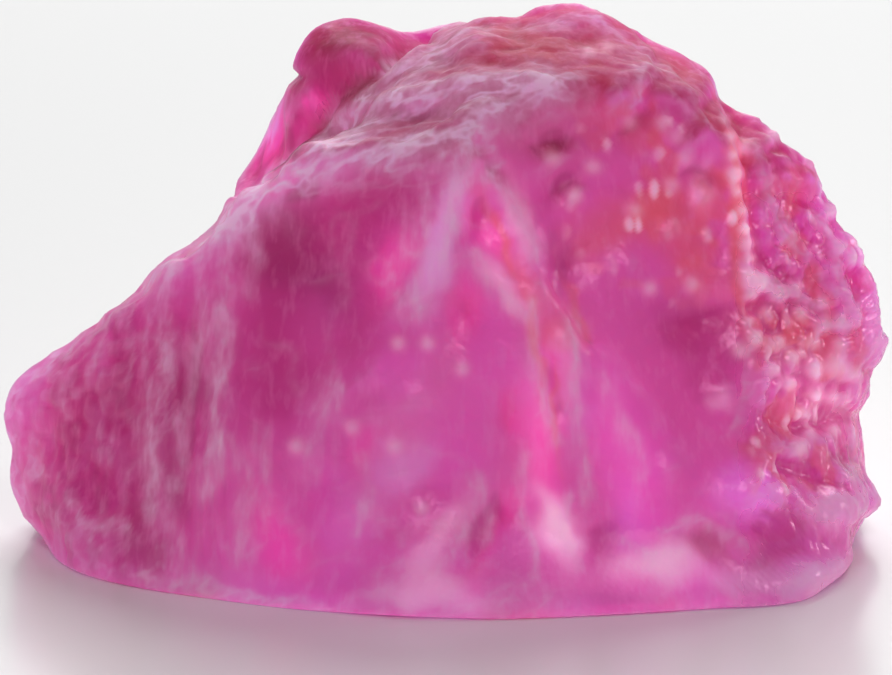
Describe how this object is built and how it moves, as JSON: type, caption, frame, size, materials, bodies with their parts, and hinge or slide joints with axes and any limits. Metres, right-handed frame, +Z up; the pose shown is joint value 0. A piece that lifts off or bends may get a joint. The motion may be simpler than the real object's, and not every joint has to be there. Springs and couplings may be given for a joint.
{
  "type": "raw ruby crystal",
  "caption": "Rough ruby crystal: a translucent pinkish red lump with broken faces, frosted edges, an etched flank and a knob behind one shoulder, resting on a flat fracture face.",
  "frame": {"origin": "middle of the stone's footprint box on the surface it rests on", "axes": "X along the length to the right, Y from the front to the back, Z up"},
  "size_m": [0.0244, 0.0136, 0.0147],
  "materials": {
    "ruby": "translucent, broken and etched, with frosted edges"
  },
  "bodies": {
    "root": {"ruby_crystal": "ruby"}
  },
  "joints": []
}
